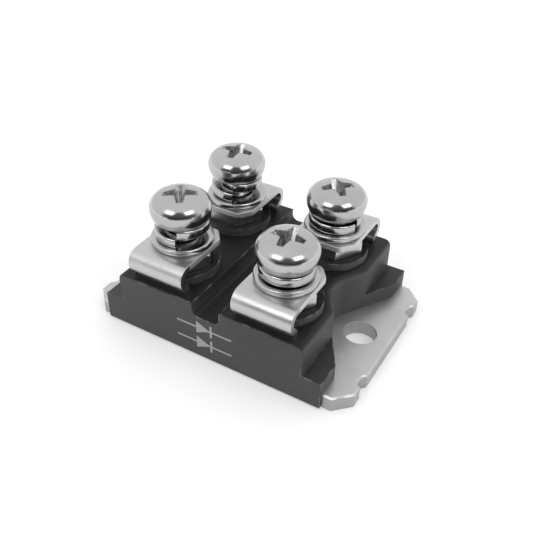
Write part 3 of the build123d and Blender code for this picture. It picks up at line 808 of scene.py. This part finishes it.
class DIODE_OT_screws(bpy.types.Operator):
    """Pan-head screws, turned from their outline, with a cross recess"""

    bl_idname = "diode_module.screws"
    bl_label = "Screws"

    # Turn of each cross recess in degrees
    recess_turns = {"front_left": 35.0, "front_right": 1.0, "rear_left": 7.0, "rear_right": 43.0}

    def turned_blank(self):
        """The screw without its recess, standing on the plane of its seat."""
        size = sizes()
        shank = size.screw_diameter / 2
        widest = size.head_diameter / 2
        above = size.head_height - size.head_widest
        shoulder = above - size.crown_rise
        centre = widest - shoulder
        crown = (centre ** 2 + above ** 2 - shoulder ** 2) / (2 * size.crown_rise)
        barrel = (size.head_widest ** 2 + size.head_undercut ** 2) / (2 * size.head_undercut)
        bend = math.degrees(math.atan2(crown - above, centre))
        barrel_steps, shoulder_steps, crown_steps = 8, 14, 8
        work = bmesh.new()
        bottom = -size.screw_length
        chain = add_outline(work, ((0.0, bottom), (shank - size.screw_point, bottom),
                                   (shank, bottom + size.screw_point), (shank, 0.0),
                                   (widest - size.head_undercut, 0.0)))
        end = turn_vertex(work, chain[-1], (widest - barrel, size.head_widest),
                          math.degrees(math.asin(size.head_widest / barrel)), barrel_steps)
        end = turn_vertex(work, end, (centre, size.head_widest), bend, shoulder_steps)
        end = turn_vertex(work, end, (0.0, size.head_height - crown), 90 - bend, crown_steps)
        end.co.x = 0.0
        spin_outline(work)
        return work

    def recess_arm(self, turn):
        """Two opposite arms of the cross recess as a tapered wedge."""
        size = sizes()
        work = bmesh.new()
        slope = math.tan(size.recess_flare)
        above_crown = size.head_height + 0.2 * MM
        levels = ((size.recess_mouth, size.recess_mouth_tip, above_crown),
                  (size.recess_bottom, size.recess_bottom_tip, size.head_height - size.recess_depth))
        rings = []
        for span, tip, level in levels:
            root = tip + span * slope
            outline = ((-span, -tip), (0.0, -root), (span, -tip), (span, tip), (0.0, root), (-span, tip))
            rings.append([work.verts.new((x / 2, y / 2, level)) for x, y in outline])
        for ring in rings:
            for index, vertex in enumerate(ring):
                work.edges.new((vertex, ring[(index + 1) % 6]))
            work.faces.new(ring)
        bmesh.ops.bridge_loops(work, edges=list(work.edges))
        bmesh.ops.recalc_face_normals(work, faces=work.faces)
        bmesh.ops.rotate(work, verts=work.verts, matrix=Matrix.Rotation(turn, 3, "Z"))
        return work

    def cut_recess(self, blank):
        """The blank with both pairs of arms cut out and the rim of the recess broken."""
        size = sizes()
        holder = add_object("blank", as_mesh(blank, "blank"))
        cutters = []
        for index in range(2):
            cutter = add_object("cutter", as_mesh(self.recess_arm(index * math.pi / 2), "cutter"))
            cut = holder.modifiers.new("Cut", "BOOLEAN")
            cut.operation = "DIFFERENCE"
            cut.solver = "EXACT"
            cut.object = cutter
            cutters.append(cutter)
        seen = bpy.context.evaluated_depsgraph_get()
        work = bmesh.new()
        work.from_mesh(holder.evaluated_get(seen).to_mesh())
        for item in (holder, *cutters):
            mesh = item.data
            bpy.data.objects.remove(item)
            bpy.data.meshes.remove(mesh)
        sliver = 0.004 * MM
        bmesh.ops.remove_doubles(work, verts=work.verts, dist=sliver)
        bottom = size.head_height - size.recess_depth
        reach = size.recess_mouth / 2

        def at_rim(edge):
            middle = (edge.verts[0].co + edge.verts[1].co) / 2
            return middle.z > bottom and middle.to_2d().length < reach

        break_edges(work, sharp_edges(work, 28, at_rim), size.recess_edge, limited=False)
        bmesh.ops.remove_doubles(work, verts=work.verts, dist=sliver / 2)
        bmesh.ops.recalc_face_normals(work, faces=work.faces)
        for face in work.faces:
            middle = face.calc_center_median()
            inside = middle.z > bottom - 0.01 * MM and middle.to_2d().length < reach
            face.material_index = 1 if inside and face.normal.z < 0.9 else 0
        return as_mesh(work, "screw")

    def execute(self, context):
        screw = self.cut_recess(self.turned_blank())
        group = bmesh.new()
        for name, (low, high) in node_islands("terminal_screws").items():
            place = ((low.x + high.x) / 2, (low.y + high.y) / 2, low.z + sizes().screw_length)
            join_copy(group, screw, place, math.radians(self.recess_turns[name]))
        material = metal_material("screw_plating", colours().screw, gloss=(0.16, 0.24), relief=0.12,
                                  pits=0.05)
        screws = finished_piece(group, "pan_head_screws", material, "terminal_screws")
        dull = metal_material("recess_plating", colours().recess, gloss=(0.2, 0.4), relief=1.0,
                              depth=0.03 * MM, cloud_scale=1500.0, clouds=(0.55, 1.4))
        screws.data.materials.append(dull)
        return {"FINISHED"}


class DIODE_OT_inside(bpy.types.Operator):
    """Finishes of the substrate, dies, bond ribbons and gel sealed inside the housing"""

    bl_idname = "diode_module.inside"
    bl_label = "Sealed parts"

    def execute(self, context):
        shades = colours()
        copper = plain_material("pad_copper", shades.copper, roughness=0.35, metallic=1.0)
        ceramic = plain_material("white_alumina", shades.ceramic, roughness=0.6)
        solder = plain_material("solder_joint", shades.solder, roughness=0.4, metallic=1.0)
        die = plain_material("die_metal", shades.die, roughness=0.25, metallic=1.0)
        ribbon = plain_material("ribbon_aluminium", shades.ribbon, roughness=0.3, metallic=1.0)
        gel = gel_material("soft_gel", shades.gel)
        dress_solid("substrate_solder", solder)
        dress_solid("substrate_bottom_copper", copper)
        dress_solid("ceramic_substrate", ceramic)
        for name in TERMINALS:
            dress_solid("copper_pad_" + name, copper)
        for side in ("left", "right"):
            dress_solid("diode_die_" + side, die)
            dress_solid("bond_ribbons_" + side, ribbon)
        dress_solid("gel_filling", gel)
        return {"FINISHED"}


# Studio

def direction(azimuth, elevation):
    """A direction from the module: round from the printed face towards the right, and up."""
    return Vector((math.sin(azimuth) * math.cos(elevation), -math.cos(azimuth) * math.cos(elevation),
                   math.sin(elevation)))


def aim(item, back, distance, height, roll=0.0):
    """Puts a lamp or camera in a direction from a point above the origin, looking back at it."""
    item.location = Vector((0.0, 0.0, height)) + back * distance
    item.rotation_mode = "QUATERNION"
    level = (-back).to_track_quat("-Z", "Y")
    item.rotation_quaternion = Matrix.Rotation(roll, 3, back).to_quaternion() @ level


def soft_box(name, azimuth, elevation, power):
    """A soft rectangular lamp that faces the module from a direction in degrees."""
    lamp = bpy.data.lights.new(name, "AREA")
    lamp.shape = "RECTANGLE"
    lamp.size = BOX_WIDTH
    lamp.size_y = BOX_HEIGHT
    lamp.energy = power
    back = direction(math.radians(azimuth), math.radians(elevation))
    aim(add_object(name, lamp), back, BOX_DISTANCE, LAMP_AIM_HEIGHT)


def paper_material(glow):
    """Paper that shows white to the camera and in reflections, keeps shadows, and is clear from below."""
    material, tree, shader = new_material("studio_paper", tone("ffffff"), Base_Color=(0.8, 0.8, 0.8, 1.0),
                                          Roughness=0.9, Specular_IOR_Level=0.0)
    path = tree.nodes.new("ShaderNodeLightPath").outputs
    mirrored = maths(tree, "MAXIMUM", path["Is Glossy Ray"], path["Is Transmission Ray"])
    seen = maths(tree, "MAXIMUM", path["Is Camera Ray"], mirrored)
    away = vector_maths(tree, "LENGTH", object_place(tree))["Value"]
    paper = remap(tree, away, *GLOW_RANGE, glow, glow + GLOW_RISE)
    light = add_node(tree, "ShaderNodeEmission", None, Color=tone("ffffff"),
                     Strength=times(tree, seen, paper))
    both = tree.nodes.new("ShaderNodeAddShader")
    tree.links.new(shader.outputs[0], both.inputs[0])
    tree.links.new(light.outputs[0], both.inputs[1])
    under = tree.nodes.new("ShaderNodeNewGeometry").outputs["Backfacing"]
    clear = tree.nodes.new("ShaderNodeBsdfTransparent")
    sided = add_node(tree, "ShaderNodeMixShader", None, _0=under, _1=both.outputs[0], _2=clear.outputs[0])
    tree.links.new(sided.outputs[0], tree.nodes["Material Output"].inputs["Surface"])
    return material


def room_light(settings):
    """A room with a white ceiling and far side and a dark near side, and a white background."""
    world = bpy.data.worlds.new("room")
    world.use_nodes = True
    tree = world.node_tree
    tree.nodes.clear()
    heading = tree.nodes.new("ShaderNodeTexCoord").outputs["Generated"]
    towards = vector_maths(tree, "DOT_PRODUCT", heading, _1=direction(settings.azimuth, 0.0))["Value"]
    nearness = remap(tree, towards, *NEAR_SIDE_RANGE, 0.0, 1.0, smooth=True)
    wall = mix_value(tree, nearness, settings.far_wall, settings.near_wall)
    overhead = remap(tree, split(tree, heading)["Z"], *CEILING_RANGE, 0.0, 1.0, smooth=True)
    inside = mix_value(tree, overhead, wall, settings.ceiling)
    path = tree.nodes.new("ShaderNodeLightPath").outputs
    seen = maths(tree, "MAXIMUM", path["Is Camera Ray"], path["Is Transmission Ray"])
    strength = mix_value(tree, seen, inside, 1.0)
    light = add_node(tree, "ShaderNodeBackground", None, Color=tone("ffffff"), Strength=strength)
    output = tree.nodes.new("ShaderNodeOutputWorld")
    tree.links.new(light.outputs[0], output.inputs["Surface"])
    bpy.context.scene.world = world


def dark_card(settings):
    """A dark strip behind the camera, seen only as a soft dark band in bright metal."""
    work = bmesh.new()
    done = bmesh.ops.create_circle(work, cap_ends=False, segments=72, radius=CLOTH_RADIUS)
    behind = direction(settings.azimuth, 0.0)
    hidden = [vertex for vertex in done["verts"] if vertex.co.normalized().dot(behind) < CLOTH_ARC]
    bmesh.ops.delete(work, geom=hidden, context="VERTS")
    raised = bmesh.ops.extrude_edge_only(work, edges=list(work.edges))["geom"]
    lifted = [item for item in raised if isinstance(item, bmesh.types.BMVert)]
    bmesh.ops.translate(work, verts=lifted, vec=(0.0, 0.0, CLOTH_HEIGHT))
    mesh = as_mesh(work, "dark_card")
    cloth = tone("2a2a2a")
    mesh.materials.append(new_material("dark_cloth", cloth, Base_Color=cloth, Roughness=1.0)[0])
    card = add_object("dark_card", mesh)
    card.visible_camera = False
    card.visible_shadow = False
    card.visible_diffuse = False


class DIODE_OT_studio(bpy.types.Operator):
    """White floor, soft light and the camera"""

    bl_idname = "diode_module.studio"
    bl_label = "Studio"

    def execute(self, context):
        settings = studio()
        scene = context.scene
        scene.view_settings.view_transform = "Standard"
        view = bpy.data.cameras.new("view")
        view.lens = view.sensor_width * settings.lens_share
        view.shift_x = (IMAGE_SIDE / 2 - STRAIGHT_AHEAD[0]) / IMAGE_SIDE
        view.shift_y = (STRAIGHT_AHEAD[1] - IMAGE_SIDE / 2) / IMAGE_SIDE
        view.clip_start = 0.005
        scene.camera = add_object("view", view)
        back = direction(settings.azimuth, settings.elevation)
        aim(scene.camera, back, settings.distance, AIM_HEIGHT, settings.roll)

        work = bmesh.new()
        bmesh.ops.create_grid(work, x_segments=1, y_segments=1, size=FLOOR_REACH,
                              matrix=Matrix.Translation((0.0, 0.0, -FLOOR_GAP)))
        mesh = as_mesh(work, "floor")
        mesh.materials.append(paper_material(settings.paper_glow))
        floor = add_object("floor", mesh)

        room_light(settings)
        soft_box("left_box", *LEFT_BOX, settings.lamp_power)
        soft_box("right_box", *RIGHT_BOX, settings.lamp_power)
        dark_card(settings)
        return {"FINISHED"}


class DIODE_PT_panel(bpy.types.Panel):
    """Sizes, colours and steps of the diode module"""

    bl_idname = "DIODE_PT_panel"
    bl_label = "Diode Module"
    bl_space_type = "VIEW_3D"
    bl_region_type = "UI"
    bl_category = "Diode Module"

    def draw(self, context):
        for title, group in (("Sizes", sizes()), ("Colours", colours()), ("Studio", studio())):
            box = self.layout.box()
            box.label(text=title)
            for name in group.__class__.__annotations__:
                box.prop(group, name)
        column = self.layout.column()
        for step in STEPS:
            column.operator(step.bl_idname)


STEPS = (
    DIODE_OT_studio,
    DIODE_OT_baseplate,
    DIODE_OT_housing,
    DIODE_OT_terminals,
    DIODE_OT_nuts,
    DIODE_OT_flat_washers,
    DIODE_OT_split_washers,
    DIODE_OT_screws,
    DIODE_OT_inside,
)
CLASSES = (ModuleSizes, ModuleColours, ModuleStudio, *STEPS, DIODE_PT_panel)


def register():
    for item in CLASSES:
        bpy.utils.register_class(item)
    bpy.types.Scene.diode_module_sizes = bpy.props.PointerProperty(type=ModuleSizes)
    bpy.types.Scene.diode_module_colours = bpy.props.PointerProperty(type=ModuleColours)
    bpy.types.Scene.diode_module_studio = bpy.props.PointerProperty(type=ModuleStudio)


def unregister():
    del bpy.types.Scene.diode_module_studio
    del bpy.types.Scene.diode_module_colours
    del bpy.types.Scene.diode_module_sizes
    for item in reversed(CLASSES):
        bpy.utils.unregister_class(item)


def main():
    """Builds the module and its studio."""
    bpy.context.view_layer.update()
    register()
    for step in STEPS:
        group, name = step.bl_idname.split(".")
        getattr(getattr(bpy.ops, group), name)()


if __name__ == "__main__":
    main()
